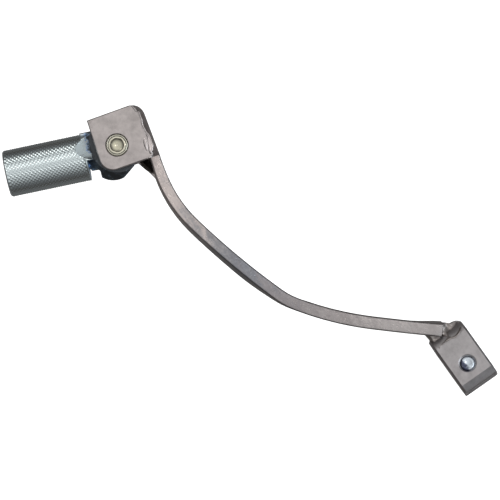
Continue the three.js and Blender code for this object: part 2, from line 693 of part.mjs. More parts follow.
// Behind the sweep radius the tongue's faces slope away, so the lobe and neck are thin at the rear.
function lobeSlope(side) {
  const reach = 9;
  const drop = reach * Math.tan(LOBE_SLOPE);
  const profile = [
    [SWEEP_RADIUS, TONGUE_HALF],
    [SWEEP_RADIUS + reach, TONGUE_HALF - drop],
    [SWEEP_RADIUS + reach, TONGUE_HALF + 1],
    [SWEEP_RADIUS - 1 / Math.tan(LOBE_SLOPE), TONGUE_HALF + 1],
  ];
  const cone = solid(turnedGeometry([...profile, profile[0]], 64));
  const rear = block([-30, -HEEL_RADIUS, 0], [RAMP_REAR_X, PEG_SHOULDER, 30]);
  const cut = cone.intersect(rear);
  return side > 0 ? cut : cut.mirror([0, 0, 1]);
}

// Above and below the tongue the metal stops clear of the fork plates.
function plateRoom(side) {
  const level = TONGUE_HALF - 0.2;
  const low = side > 0 ? level : -20;
  const high = side > 0 ? 20 : -level;
  const straight = block([-30, -30, low], [30, RAMP_FOOT_Y, high]);
  return straight.add(disk(SWEEP_RADIUS, low, high, 64));
}

// A scoop like a tilted drill mark forms the ramp from the tongue up to the grip.
function rampScoop(side) {
  const scoop = diskGeometry(RAMP_RADIUS, -30, 60, 48).rotateX(-Math.PI / 2);
  const lift = TONGUE_HALF + RAMP_RADIUS / Math.cos(RAMP_SLOPE);
  const placed = scoop.rotateX(RAMP_SLOPE).translate(RAMP_MIDDLE_X, RAMP_FOOT_Y, lift);
  return solid(side > 0 ? placed : placed.clone().rotateY(Math.PI).translate(2 * RAMP_MIDDLE_X, 0, 0));
}

function springPocket() {
  const annulus = ring(POCKET_OUTER_RADIUS, POCKET_INNER_RADIUS, -TONGUE_HALF - 1, POCKET_CEILING, 40);
  const endAngle = SPRING_START + SPRING_TURNS * 2 * Math.PI + HEAD_TURN - PEG_TURN;
  return annulus.add(springLegHole(endAngle, 0, SPRING_LEG_HIGH + 0.3));
}

function toePeg() {
  const shoulder = block([-30, -30, -20], [RAMP_REAR_X, PEG_SHOULDER, 20]);
  const grip = knurledGrip()
    .add(gripRound(RAMP_FOOT_Y - 3, KNURL_START))
    .subtract(shoulder)
    .subtract(plateRoom(1))
    .subtract(plateRoom(-1))
    .subtract(rampScoop(1))
    .subtract(rampScoop(-1));
  const tongue = slab(tongueOutline(), -TONGUE_HALF, TONGUE_HALF, 0.4, 24)
    .subtract(webRoom())
    .subtract(lobeSlope(1))
    .subtract(lobeSlope(-1));
  return grip.add(tongue).subtract(disk(SHANK_HOLE_RADIUS, -20, 20)).subtract(springPocket());
}

// ---------------------------------------------------------------- assembly

const lever = new THREE.Group();
lever.add(
  piece("arm", arm(), forgedSteel()),
  piece("clamp_weld_inboard", clampWeld(INBOARD_FILLET), weldMetal()),
  piece("clamp_weld_outboard", clampWeld(OUTBOARD_FILLET), weldMetal()),
);

const clamp = new THREE.Group();
clamp.rotation.y = degrees(BOSS_TILT);
clamp.add(
  piece("clamp_boss", clampBoss(), forgedSteel()),
  piece("pinch_bolt", pinchBolt(), boltSteel()),
  piece("pinch_washer", pinchWasher(), boltSteel()),
);

const head = new THREE.Group();
head.position.set(PIVOT.x, PIVOT.y, PIVOT.z);
head.rotation.z = HEAD_TURN;
head.add(
  piece("upper_fork_plate", upperPlate(), forgedSteel()),
  piece("lower_fork_plate", lowerPlate(), forgedSteel()),
  piece("head_weld_upper", headWeld(1), weldMetal()),
  piece("head_weld_lower", headWeld(-1), weldMetal()),
  piece("pivot_screw", pivotScrew(), yellowZinc()),
  piece("pivot_nut", pivotNut(), boltSteel()),
  piece("nut_washer", nutWasher(), boltSteel()),
  piece("thrust_washer_upper", thrustWasher(1), bronze()),
  piece("thrust_washer_lower", thrustWasher(-1), bronze()),
  piece("return_spring", returnSpring(), springSteel()),
);

const peg = new THREE.Group();
peg.position.copy(head.position);
peg.rotation.z = PEG_TURN;
peg.add(piece("toe_peg", toePeg(), zincPeg()));

const part = new THREE.Group();
part.add(lever, clamp, head, peg);

export default part;
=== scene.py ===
"""Looks of a motorcycle gear shift lever: weld beads, metal finishes and the studio.

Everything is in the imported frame: the origin is the centre of the splined bore, +X runs
forward, +Y outboard along the gear shaft, +Z up. Lengths are in metres, except where a comment
says millimetres.
"""

import json
import math

import bmesh
import bpy
from mathutils import Matrix, Vector, noise


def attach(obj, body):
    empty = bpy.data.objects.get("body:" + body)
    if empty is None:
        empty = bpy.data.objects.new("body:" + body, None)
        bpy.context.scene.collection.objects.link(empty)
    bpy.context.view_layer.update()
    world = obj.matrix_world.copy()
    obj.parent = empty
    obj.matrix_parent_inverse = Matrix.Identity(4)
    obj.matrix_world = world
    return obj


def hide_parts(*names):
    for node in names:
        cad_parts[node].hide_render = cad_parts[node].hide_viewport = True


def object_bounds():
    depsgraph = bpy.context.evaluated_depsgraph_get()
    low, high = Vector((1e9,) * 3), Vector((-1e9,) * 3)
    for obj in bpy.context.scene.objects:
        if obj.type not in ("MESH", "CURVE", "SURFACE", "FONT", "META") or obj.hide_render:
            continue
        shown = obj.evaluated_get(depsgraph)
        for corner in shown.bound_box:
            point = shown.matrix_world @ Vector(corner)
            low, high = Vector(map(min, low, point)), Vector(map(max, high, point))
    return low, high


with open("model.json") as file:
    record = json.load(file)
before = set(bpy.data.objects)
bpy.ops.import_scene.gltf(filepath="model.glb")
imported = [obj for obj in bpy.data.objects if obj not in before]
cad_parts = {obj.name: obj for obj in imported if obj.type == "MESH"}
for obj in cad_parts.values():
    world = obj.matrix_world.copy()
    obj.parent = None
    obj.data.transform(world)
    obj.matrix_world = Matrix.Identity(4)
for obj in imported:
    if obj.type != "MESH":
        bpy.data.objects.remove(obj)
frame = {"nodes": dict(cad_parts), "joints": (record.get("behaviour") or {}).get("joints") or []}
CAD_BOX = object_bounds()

MM = 0.001
UP = Vector((0.0, 0.0, 1.0))
NODES = frame["nodes"]

# ---------------------------------------------------------------- places

PIVOT = Vector(frame["joints"][0]["pos_m"])
HEAD_TURN = math.radians(-14.5)
HEAD = Matrix.Translation(PIVOT) @ Matrix.Rotation(HEAD_TURN, 4, "Z")

# ---------------------------------------------------------------- camera and studio

VIEW_AZIMUTH = math.radians(235)
VIEW_DISTANCE = 1.2  # straight above the lever
VIEW_WIDTH = 0.205  # what the picture's width covers at the lever
AIM = Vector((0.0814, 0.0464, 0.008))
SENSOR = 36.0  # the camera's, in millimetres

PICTURE_RIGHT = Vector((math.cos(VIEW_AZIMUTH), math.sin(VIEW_AZIMUTH), 0.0))
PICTURE_DOWN = Vector((math.sin(VIEW_AZIMUTH), -math.cos(VIEW_AZIMUTH), 0.0))

# The room's colour by how far a direction points at the ceiling, -1 to 1.
ROOM = [(-1.0, (0.16, 0.155, 0.15)), (-0.35, (0.12, 0.115, 0.115)), (-0.1, (0.065, 0.058, 0.053)),
        (0.12, (0.065, 0.060, 0.058)), (0.5, (0.15, 0.15, 0.155)), (0.82, (0.54, 0.54, 0.54)),
        (1.0, (0.86, 0.84, 0.83))]
CEILING = (UP - PICTURE_DOWN * 0.12 + PICTURE_RIGHT * 0.10).normalized()
BACKDROP = (0.93, 0.93, 0.94)

FLOOR_DROP = 1.0 * MM  # below the lever's lowest point
FLOOR_HALF = 3.0
PAPER = (0.85, 0.85, 0.85)
PAPER_GLOW = 1.0

# Name, direction from the lever, distance, size, power and colour.
SOFTBOXES = [
    ("head_light", UP - PICTURE_DOWN * 0.10 + PICTURE_RIGHT * 0.14, 1.0, 0.10, 0.10, (1.0, 0.95, 0.92)),
    ("right_side", UP * 0.5 + PICTURE_RIGHT * 0.85 + PICTURE_DOWN * 0.1, 0.9, 0.6, 3.0, (0.86, 0.94, 1.0)),
    ("left_back", UP * 0.6 - PICTURE_RIGHT * 0.5 - PICTURE_DOWN * 0.6, 0.9, 0.3, 0.5, (1.0, 0.97, 0.93)),
]

# ---------------------------------------------------------------- finishes

PLATE_TONE = (0.595, 0.553, 0.54)
LOWER_PLATE_TONE = (0.62, 0.58, 0.565)
BOSS_TONE = (0.54, 0.52, 0.525)
BEAD_TONE = (0.68, 0.63, 0.62)
BAR_TONE = (0.5, 0.48, 0.48)
WELD_TONE = (0.50, 0.46, 0.44)
ZINC_TONE = (0.74, 0.79, 0.84)
PEG_TONE = (0.74, 0.77, 0.78)
SCREW_TONE = (0.72, 0.71, 0.57)
SPRING_TONE = (0.11, 0.11, 0.12)
BRONZE_TONE = (0.60, 0.42, 0.20)

HAIRLINE_TURN = math.radians(35)
HAIRLINE_SIZE = 0.9  # millimetres across
HAIRLINE_DEPTH = -0.02
HAIRLINE_STRETCH = (1.0, 0.04, 1.0)  # the smaller the longer
HAIRLINE_LEVELS = (0.60, 0.72)  # of the noise, where a scratch starts and where it is full

# Kinds of noise: how many levels of finer detail it has, and how strong they are.
SPECKLED = {"detail": 5.0, "roughness": 0.7}
BLASTED = {"detail": 5.0, "roughness": 0.75}
WORN = {"detail": 6.0, "roughness": 0.75}

# The bar's colour from the boss (0) to the head (1), over that stretch of x in millimetres: painted light,
# a painted highlight by the head and painted shade mid-way where the bar slopes.
BAR_STRETCH = (8.0, 130.0)
BAR_LIGHT_AND_SHADE_TONES = [(0.0, (0.48, 0.455, 0.45)), (0.22, (0.37, 0.345, 0.345)), (0.42, (0.33, 0.31, 0.32)),
             (0.60, (0.26, 0.265, 0.29)), (0.78, (0.38, 0.37, 0.38)), (0.95, (0.60, 0.545, 0.525))]

# The pinch bolt's colour from its outboard side (0), in painted shade, to its lit side (1), over that
# stretch of y.
BOLT_SHADE_STRETCH = (1.9, -0.6)
BOLT_SHADE_TONES = [(0.15, (0.10, 0.11, 0.17)), (0.60, (0.74, 0.82, 0.90))]

# The pivot screw's colour by distance from its axis, in millimetres: painted rings of highlight and shade.
SCREW_REACH = 5.0
SCREW_HIGHLIGHT_AND_SHADE_RINGS = [(0.0, (0.95, 0.93, 0.80)), (0.5, (0.60, 0.58, 0.46)), (1.5, (0.74, 0.72, 0.56)),
               (2.2, (0.50, 0.48, 0.38)), (2.55, (0.12, 0.11, 0.09)), (2.85, (0.20, 0.19, 0.15)),
               (3.05, (0.80, 0.78, 0.64)), (3.5, (0.66, 0.65, 0.54)), (3.7, (0.16, 0.15, 0.13)),
               (3.95, (0.78, 0.77, 0.66)), (4.4, (0.70, 0.70, 0.60)), (4.6, (0.25, 0.25, 0.22))]

# The lower plate's colour by distance from the middle of its gusset's hollow, in millimetres: painted
# shade in the hollow.
GUSSET_HOLLOW = Vector((-11.5, -9.2, -6.0))  # in the head's frame
GUSSET_REACH = 10.0
GUSSET_SHADE_TONES = [(3.8, (0.05, 0.045, 0.04)), (5.2, LOWER_PLATE_TONE)]

# The peg's colour from the pivot (0) to the grip (1), over that stretch of distance from the pivot in
# millimetres: painted shade on the tongue, then a painted blue reflection and highlight on the ramp.
# Heights count double, so the ramp beside the grip lies beyond the tongue.
PEG_STRETCH = (12.8, 18.2)
PEG_HEIGHTS = 2.0
PEG_SHADE_AND_REFLECTION_TONES = [(0.0, (0.10, 0.11, 0.12)), (0.30, (0.18, 0.22, 0.26)), (0.55, (0.48, 0.68, 0.98)),
             (0.80, (0.86, 0.95, 1.0)), (1.0, (0.77, 0.87, 0.89))]
PEG_POLISH = (15.0, 20.0)  # another such stretch, from dull to bright

# The ramp, which is the part of the peg that faces the pivot, is made less metallic so that its painted
# blue reflection shows as colour.
PEG_INWARD = HEAD.to_3x3() @ Vector((0.0, -1.0, 0.0))
RAMP_DULLING_FACING = (0.45, 0.6)  # cosines, from none to full
RAMP_DULLING_METALLIC = 0.2

# ---------------------------------------------------------------- edges of the CAD nodes

MERGE_DISTANCE = 1e-6
SHARP_ANGLE = math.radians(32)

# ---------------------------------------------------------------- head welds, in millimetres

# Places are measured from the pivot, in the head's frame. Outer means away from the pivot.
PLATE_TOP = 8.5
WEB_TOP = 4.2
WEB_OUTER_Y = -14.75
WEB_FRONT_X = 13.5
WEB_CORNER = 4.9

HEAD_WELD_START = -9.6
HEAD_WELD_LENGTH = 22.4
HEAD_WELD_ROWS = 92
CROWN_COLUMNS = 18
SLOPE_COLUMNS = 9
WELD_FOOT = WEB_TOP - 0.4  # the bead's lower edge, sunk into the web
WELD_INNER_Y = -9.4
WELD_FADE = 0.8  # over which the crown rises from the plate

# The edge of the bead's crown: x along the web, and y across it, with the web's outer side at -y.
CROWN_EDGE = [(-9.55, -10.55), (-8.0, -11.7), (-6.5, -13.1), (-4.8, -13.8), (-1.2, -13.8), (1.5, -13.0),
              (4.1, -12.65), (6.5, -13.15), (9.6, -13.2), (10.25, -12.1), (12.9, -11.5)]
CROWN_SINK = 0.04
RIM_HEIGHT = 0.24
RIM_WIDTH = 0.45

# The crater where the bead ends: an oval swelling with a groove round it and a seam across it.
CRATER = Vector((-4.6, -11.6))
CRATER_HALF = Vector((4.1, 1.8))
CRATER_SWELL = 0.40
GROOVE_DEPTH = 0.45
GROOVE_WIDTH = 0.16  # as a share of the crater's size
GROOVE_OPENING = 1.0  # how far outside the crater's middle the groove stops
SEAM_REACH = 0.8  # as a share of the crater's size
SEAM_DEPTH = 0.30
SEAM_WIDTH = 0.35
SEAM_SLANT = 0.25

CROWN_RIPPLE = 0.05
SLOPE_LUMPS = 0.22
SLOPE_LEAST = 0.12  # how far out from the crown's edge the slope ends at least
WEB_INSET = 0.05  # how far inside the web's outer side the slope ends

# ---------------------------------------------------------------- clamp welds, in millimetres

# Matching points from the boss's side to the bar's side of each fillet, as x, y and height.
INBOARD_RIDGE = [(6.6, -7.8, 3.2), (6.0, -7.0, 5.0), (5.2, -5.9, 6.9), (4.2, -4.5, 7.5),
                 (3.6, -2.0, 7.5), (4.2, 0.1, 7.3), (4.4, 2.2, 7.2)]
INBOARD_FLANK = [(8.2, -7.4, 1.4), (8.9, -6.4, 2.2), (9.3, -5.0, 2.8), (9.6, -3.6, 3.2),
                 (10.9, -2.2, 3.0), (11.4, -0.7, 4.4), (7.9, 2.2, 6.2)]
OUTBOARD_RIDGE = [(4.4, 1.2, 7.2), (4.5, 3.2, 7.2), (3.9, 5.2, 7.3), (3.5, 6.2, 7.0), (4.0, 6.7, 4.0)]
OUTBOARD_FLANK = [(8.9, 1.4, 6.2), (7.3, 2.5, 4.8), (9.1, 4.9, 4.6), (10.3, 6.5, 4.2), (11.2, 7.5, 2.0)]

CLAMP_WELD_ROWS = 54
CLAMP_WELD_COLUMNS = 22
FILLET_DISH = 1.5
TOE_HEIGHT = 0.30
TOE_PLACE = 0.10  # as a share of the way from the boss to the bar, as is its width
TOE_WIDTH = 0.07
FILLET_RIPPLE = 0.07
FILLET_LUMPS = 0.30
WELD_PIT = Vector((6.9, 2.2))  # a hole left at the corner of the bar's end
PIT_DEPTH = 2.5
PIT_WIDTH = 0.55
WELD_MIDDLE = 0.8  # height that the fillets' undersides mirror about
UNDERSIDE_SHARE = 0.85  # how deep the underside is beside the top


# ---------------------------------------------------------------- studio

def add_camera():
    data = bpy.data.cameras.new("camera")
    data.sensor_width = SENSOR
    data.lens = SENSOR * VIEW_DISTANCE / VIEW_WIDTH
    data.clip_start = 0.01
    data.clip_end = 10.0
    camera = bpy.data.objects.new("camera", data)
    camera.location = AIM + UP * VIEW_DISTANCE
    camera.rotation_euler = (0.0, 0.0, VIEW_AZIMUTH)
    bpy.context.scene.collection.objects.link(camera)
    bpy.context.scene.camera = camera


def set_stops(ramp, stops):
    """Gives a colour ramp its stops, each a position from 0 to 1 and a colour."""
    while len(ramp.elements) < len(stops):
        ramp.elements.new(0.5)
    for element, (position, colour) in zip(ramp.elements, stops):
        element.position = position
        element.color = (*colour, 1.0)


def room_background(tree):
    """A soft ceiling over a dark horizon, which the metal reflects."""
    place = tree.nodes.new("ShaderNodeTexCoord")
    facing = tree.nodes.new("ShaderNodeVectorMath")
    facing.operation = "DOT_PRODUCT"
    facing.inputs[1].default_value = CEILING
    level = tree.nodes.new("ShaderNodeMapRange")
    level.inputs["From Min"].default_value = -1.0
    ramp = tree.nodes.new("ShaderNodeValToRGB")
    set_stops(ramp.color_ramp, [((height + 1.0) / 2.0, colour) for height, colour in ROOM])
    room = tree.nodes.new("ShaderNodeBackground")
    tree.links.new(place.outputs["Generated"], facing.inputs[0])
    tree.links.new(facing.outputs["Value"], level.inputs["Value"])
    tree.links.new(level.outputs["Result"], ramp.inputs["Fac"])
    tree.links.new(ramp.outputs["Color"], room.inputs["Color"])
    return room


def add_world():
    """The room for light and reflections, with a plain pale backdrop wherever it is seen directly."""
    world = bpy.data.worlds.new("studio")
    world.use_nodes = True
    bpy.context.scene.world = world
    tree = world.node_tree
    tree.nodes.clear()
    room = room_background(tree)
    backdrop = tree.nodes.new("ShaderNodeBackground")
    backdrop.inputs["Color"].default_value = (*BACKDROP, 1.0)
    path = tree.nodes.new("ShaderNodeLightPath")
    mix = tree.nodes.new("ShaderNodeMixShader")
    output = tree.nodes.new("ShaderNodeOutputWorld")
    tree.links.new(path.outputs["Is Camera Ray"], mix.inputs["Fac"])
    tree.links.new(room.outputs[0], mix.inputs[1])
    tree.links.new(backdrop.outputs[0], mix.inputs[2])
    tree.links.new(mix.outputs[0], output.inputs["Surface"])


def paper_material():
    material = bpy.data.materials.new("floor_paper")
    material.use_nodes = True
    shader = material.node_tree.nodes["Principled BSDF"]
    shader.inputs["Base Color"].default_value = (*PAPER, 1.0)
    shader.inputs["Roughness"].default_value = 0.9
    shader.inputs["Specular IOR Level"].default_value = 0.0
    shader.inputs["Emission Color"].default_value = (1.0, 1.0, 1.0, 1.0)
    shader.inputs["Emission Strength"].default_value = PAPER_GLOW
    return material


def add_floor():
    """Plain white paper just under the lever. It isn't mirrored in the metal."""
    low = CAD_BOX[0][2] - FLOOR_DROP
    corners = [(x * FLOOR_HALF, y * FLOOR_HALF, low) for x, y in ((-1, -1), (1, -1), (1, 1), (-1, 1))]
    mesh = bpy.data.meshes.new("floor")
    mesh.from_pydata(corners, [], [(0, 1, 2, 3)])
    mesh.materials.append(paper_material())
    floor = bpy.data.objects.new("floor", mesh)
    bpy.context.scene.collection.objects.link(floor)
    floor.visible_glossy = False
    floor.visible_diffuse = False
    floor.visible_shadow = False


def add_softbox(name, towards, distance, size, power, colour):
    """A square soft light, that far from the aim point in that direction."""
    data = bpy.data.lights.new(name, "AREA")
    data.shape = "SQUARE"
    data.size = size
    data.energy = power
    data.color = colour
    lamp = bpy.data.objects.new(name, data)
    lamp.location = AIM + towards.normalized() * distance
    lamp.rotation_euler = towards.to_track_quat("Z", "Y").to_euler()
    bpy.context.scene.collection.objects.link(lamp)


# ---------------------------------------------------------------- material building

def tint(tone, red, green, blue):
    """A tone with its channels scaled, none of them past 1."""
    return tuple(min(1.0, value * factor) for value, factor in zip(tone, (red, green, blue)))


class Shading:
    """Nodes of one metal. Noises and patches come first, then drive colour, roughness and relief."""

    def __init__(self, name, tone, roughness):
        self.material = bpy.data.materials.new(name)
        self.material.use_nodes = True
        self.tree = self.material.node_tree
        self.shader = self.tree.nodes["Principled BSDF"]
        self.shader.inputs["Metallic"].default_value = 1.0
        self.shader.inputs["Roughness"].default_value = roughness
        self.shader.inputs["Base Color"].default_value = (*tone, 1.0)
        coordinates = self.tree.nodes.new("ShaderNodeTexCoord")
        self.place = coordinates.outputs["Object"]
        self.facing = coordinates.outputs["Normal"]
        self.normal = None

    # Building blocks

    def node(self, kind, **values):
        node = self.tree.nodes.new(kind)
        for name, value in values.items():
            node.inputs[name].default_value = value
        return node

    def link(self, source, target):
        self.tree.links.new(source, target)

    def maths(self, operation, source):
        """A maths node with its first input linked."""
        node = self.tree.nodes.new("ShaderNodeMath")
        node.operation = operation
        self.link(source, node.inputs[0])
        return node

    def add(self, first, second):
        node = self.maths("ADD", first)
        self.link(second, node.inputs[1])
        return node.outputs[0]

    def vector_maths(self, operation, source, constant):
        """The number that comes from a linked vector and a constant one."""
        node = self.tree.nodes.new("ShaderNodeVectorMath")
        node.operation = operation
        node.inputs[1].default_value = constant
        self.link(source, node.inputs[0])
        return node.outputs["Value"]

    def ramp(self, source, low, high, first=0.0, last=1.0, smooth=True):
        """Maps source from low..high to first..last, clamped."""
        node = self.node("ShaderNodeMapRange")
        node.interpolation_type = "SMOOTHSTEP" if smooth else "LINEAR"
        node.inputs["From Min"].default_value = low
        node.inputs["From Max"].default_value = high
        node.inputs["To Min"].default_value = first
        node.inputs["To Max"].default_value = last
        self.link(source, node.inputs["Value"])
        return node.outputs["Result"]

    # Sources

    def noise(self, size, detail=4.0, roughness=0.6, stretch=None, turn=0.0):
        """A noise whose features are that many millimetres across. A stretched one may be turned."""
        node = self.node("ShaderNodeTexNoise", Scale=1.0 / (size * MM), Detail=detail, Roughness=roughness)
        place = self.place
        if stretch:
            mapping = self.node("ShaderNodeMapping", Rotation=(0.0, 0.0, turn), Scale=stretch)
            self.link(place, mapping.inputs["Vector"])
            place = mapping.outputs["Vector"]
        self.link(place, node.inputs["Vector"])
        return node.outputs["Fac"]

    def patches(self, source, low, high, spread=0.20):
        """Turns a noise into patches from low to high. A smaller spread makes them harder."""
        return self.ramp(source, 0.5 - spread, 0.5 + spread, low, high)

    def pits(self, size, reach):
        """Small spots, 1 at their middles, that many millimetres apart and that share of it in radius."""
        cells = self.node("ShaderNodeTexVoronoi", Scale=1.0 / (size * MM), Randomness=1.0)
        self.link(self.place, cells.inputs["Vector"])
        return self.ramp(cells.outputs["Distance"], reach, 0.0, smooth=False)

    def hairlines(self):
        """Straight parallel scratches, 1 along their middles."""
        lines = self.noise(HAIRLINE_SIZE, detail=3.0, stretch=HAIRLINE_STRETCH, turn=HAIRLINE_TURN)
        return self.ramp(lines, *HAIRLINE_LEVELS)

    def axis_ramp(self, axis, low, high):
        """0 to 1 along an axis of the object, between those places in millimetres."""
        split = self.tree.nodes.new("ShaderNodeSeparateXYZ")
        self.link(self.place, split.inputs[0])
        return self.ramp(split.outputs[axis], low * MM, high * MM)

    def distance_from(self, place, heights=1.0):
        """How many millimetres away from a place, with heights scaled by that much."""
        scaled = self.node("ShaderNodeMapping", Scale=(1.0, 1.0, heights))
        self.link(self.place, scaled.inputs["Vector"])
        middle = (place.x, place.y, place.z * heights)
        node = self.maths("DIVIDE", self.vector_maths("DISTANCE", scaled.outputs["Vector"], middle))
        node.inputs[1].default_value = MM
        return node.outputs[0]

    def facing_along(self, direction):
        """The cosine between the surface's normal and a direction of the object."""
        return self.vector_maths("DOT_PRODUCT", self.facing, direction)

    # What the sources drive

    def colours(self, source, stops):
        node = self.tree.nodes.new("ShaderNodeValToRGB")
        set_stops(node.color_ramp, stops)
        self.link(source, node.inputs["Fac"])
        self.link(node.outputs["Color"], self.shader.inputs["Base Color"])

    def colours_by_distance(self, distance, reach, tones):
        """Colours at those distances in millimetres, none of them past the reach."""
        share = self.ramp(distance, 0.0, reach, smooth=False)
        self.colours(share, [(place / reach, tone) for place, tone in tones])

    def roughen(self, source):
        self.link(source, self.shader.inputs["Roughness"])

    def bump(self, source, height):
        """Adds relief that high, in millimetres, on top of the relief so far."""
        node = self.node("ShaderNodeBump", Strength=1.0, Distance=height * MM)
        self.link(source, node.inputs["Height"])
        if self.normal:
            self.link(self.normal, node.inputs["Normal"])
        self.normal = node.outputs["Normal"]
        self.link(self.normal, self.shader.inputs["Normal"])


# ---------------------------------------------------------------- materials

def silver_material(name, tone, roughness, grain):
    """Silver-finished steel: blasted grain of that depth, soft blotches, hairlines and nicks."""
    metal = Shading(name, tone, roughness)
    dark = tint(tone, 0.80, 0.80, 0.80)
    light = tint(tone, 1.14, 1.14, 1.14)
    metal.colours(metal.noise(5.0, detail=6.0, roughness=0.7), [(0.32, dark), (0.52, tone), (0.72, light)])
    rubbed = metal.noise(1.6, **WORN)
    metal.roughen(metal.patches(rubbed, roughness - 0.08, roughness + 0.08))
    metal.bump(metal.noise(3.0, detail=3.0), 0.030)
    metal.bump(metal.noise(0.30, **BLASTED), grain)
    metal.bump(metal.pits(2.2, reach=0.13), -0.04)
    metal.bump(metal.hairlines(), HAIRLINE_DEPTH)
    return metal.material


def bar_material():
    """The bar's colour is painted light along it: a painted highlight by the head, painted bluish shade
    mid-way, then matte.
    """
    metal = Shading("silver_bar", BAR_TONE, 0.38)
    along = metal.axis_ramp("X", *BAR_STRETCH)
    streaks = metal.noise(3.6, detail=7.0, roughness=0.78, stretch=(0.45, 1.0, 1.0))
    # Painted highlight and shade along the bar, broken up by streaks.
    metal.colours(metal.add(along, metal.patches(streaks, -0.17, 0.17, spread=0.25)), BAR_LIGHT_AND_SHADE_TONES)
    metal.roughen(metal.patches(metal.noise(1.1, **WORN), 0.24, 0.44))
    metal.bump(metal.noise(3.2, detail=5.0, roughness=0.65), 0.16)
    metal.bump(metal.noise(0.35, **BLASTED), 0.018)
    metal.bump(metal.pits(2.6, reach=0.16), -0.08)
    metal.bump(metal.hairlines(), HAIRLINE_DEPTH)
    return metal.material


def zinc_material():
    """Bright zinc plating: a faint blue and straw cast in patches, fine scratches."""
    metal = Shading("bright_zinc", ZINC_TONE, 0.14)
    blue = tint(ZINC_TONE, 0.88, 0.97, 1.06)
    straw = tint(ZINC_TONE, 1.04, 1.0, 0.92)
    metal.colours(metal.noise(4.0, detail=3.0), [(0.32, blue), (0.52, ZINC_TONE), (0.72, straw)])
    metal.roughen(metal.patches(metal.noise(1.2, **SPECKLED), 0.08, 0.24))
    metal.bump(metal.noise(0.5, roughness=0.7), 0.012)
    metal.bump(metal.noise(6.0, detail=2.0, stretch=(1.0, 1.0, 6.0)), 0.012)
    return metal.material


def bolt_material():
    """Bright zinc with painted shade on its outboard side."""
    metal = Shading("zinc_bolt_painted_shade", ZINC_TONE, 0.14)
    across = metal.axis_ramp("Y", *BOLT_SHADE_STRETCH)
    film = metal.patches(metal.noise(1.4, roughness=0.7), -0.30, 0.30)
    # Painted shade: dark on the outboard side, with a ragged edge.
    metal.colours(metal.add(across, film), BOLT_SHADE_TONES)
    metal.roughen(metal.patches(metal.noise(1.0, **SPECKLED), 0.12, 0.26))
    metal.bump(metal.noise(0.5, roughness=0.7), 0.015)
    return metal.material


def screw_material():
    """Pale yellow zinc, with painted rings of highlight and shade: a painted highlight in the socket,
    painted shade at the socket's edge, in the head's turned groove and round the head.
    """
    metal = Shading("yellow_zinc_screw", SCREW_TONE, 0.16)
    radius = metal.distance_from(PIVOT, heights=0.0)
    uneven = metal.patches(metal.noise(1.3, **SPECKLED), -0.16, 0.16, spread=0.25)
    # Painted highlight and shade in rings round the axis.
    metal.colours_by_distance(metal.add(radius, uneven), SCREW_REACH, SCREW_HIGHLIGHT_AND_SHADE_RINGS)
    metal.roughen(metal.patches(metal.noise(0.9, **SPECKLED), 0.12, 0.26))
    metal.bump(metal.noise(0.5, roughness=0.7), 0.012)
    return metal.material


def lower_plate_material():
    """The plate's silver finish, with painted shade in the gusset's hollow."""
    metal = Shading("silver_lower_plate", LOWER_PLATE_TONE, 0.44)
    away = metal.distance_from(HEAD @ (GUSSET_HOLLOW * MM))
    ragged = metal.patches(metal.noise(1.5, **SPECKLED), -0.8, 0.8, spread=0.25)
    # Painted shade, darkest in the gusset's hollow.
    metal.colours_by_distance(metal.add(away, ragged), GUSSET_REACH, GUSSET_SHADE_TONES)
    metal.roughen(metal.patches(metal.noise(1.6, **WORN), 0.36, 0.52))
    metal.bump(metal.noise(3.0, detail=3.0), 0.030)
    metal.bump(metal.noise(0.30, **BLASTED), 0.020)
    return metal.material


def peg_material():
    """Bright zinc on the grip, a painted blue reflection on the less metallic ramp that faces the pivot,
    painted shade on the tongue.
    """
    metal = Shading("bright_zinc_peg", PEG_TONE, 0.25)
    away = metal.distance_from(PIVOT, PEG_HEIGHTS)
    ragged = metal.patches(metal.noise(2.2, **SPECKLED), -2.2, 2.2, spread=0.25)
    # Painted shade on the tongue, and a painted blue reflection and highlight on the ramp.
    metal.colours(metal.ramp(metal.add(away, ragged), *PEG_STRETCH), PEG_SHADE_AND_REFLECTION_TONES)
    grain = metal.patches(metal.noise(1.0, **SPECKLED), -1.5, 1.5)
    metal.roughen(metal.ramp(metal.add(away, grain), *PEG_POLISH, 0.52, 0.22))
    # Less metallic on the ramp, so the painted reflection shows.
    ramp_dulling = metal.ramp(metal.facing_along(PEG_INWARD), *RAMP_DULLING_FACING, 1.0, RAMP_DULLING_METALLIC)
    metal.link(ramp_dulling, metal.shader.inputs["Metallic"])
    metal.bump(metal.noise(0.4, roughness=0.7), 0.012)
    return metal.material


def weld_material():
    """Dull weld metal with darker patches and a pebbled surface."""
    metal = Shading("weld_bead", WELD_TONE, 0.42)
    dark = tint(WELD_TONE, 0.7, 0.7, 0.7)
    metal.colours(metal.noise(1.8, detail=5.0), [(0.3, dark), (0.65, WELD_TONE)])
    metal.roughen(metal.patches(metal.noise(0.9), 0.32, 0.52))
    metal.bump(metal.noise(0.8, **SPECKLED), 0.05)
    return metal.material


def spring_material():
    """Dark spring wire with a film of oil."""
    metal = Shading("oiled_spring_wire", SPRING_TONE, 0.35)
    metal.roughen(metal.patches(metal.noise(0.6), 0.28, 0.48))
    metal.bump(metal.noise(0.3), 0.008)
    return metal.material


def bronze_material():
    """Turned bronze, with fine rings on its edge."""
    metal = Shading("turned_bronze", BRONZE_TONE, 0.35)
    metal.colours(metal.noise(2.0), [(0.35, (0.48, 0.32, 0.15)), (0.65, (0.62, 0.45, 0.22))])
    metal.bump(metal.noise(0.4, stretch=(1.0, 1.0, 9.0)), 0.012)
    return metal.material


# ---------------------------------------------------------------- mesh building

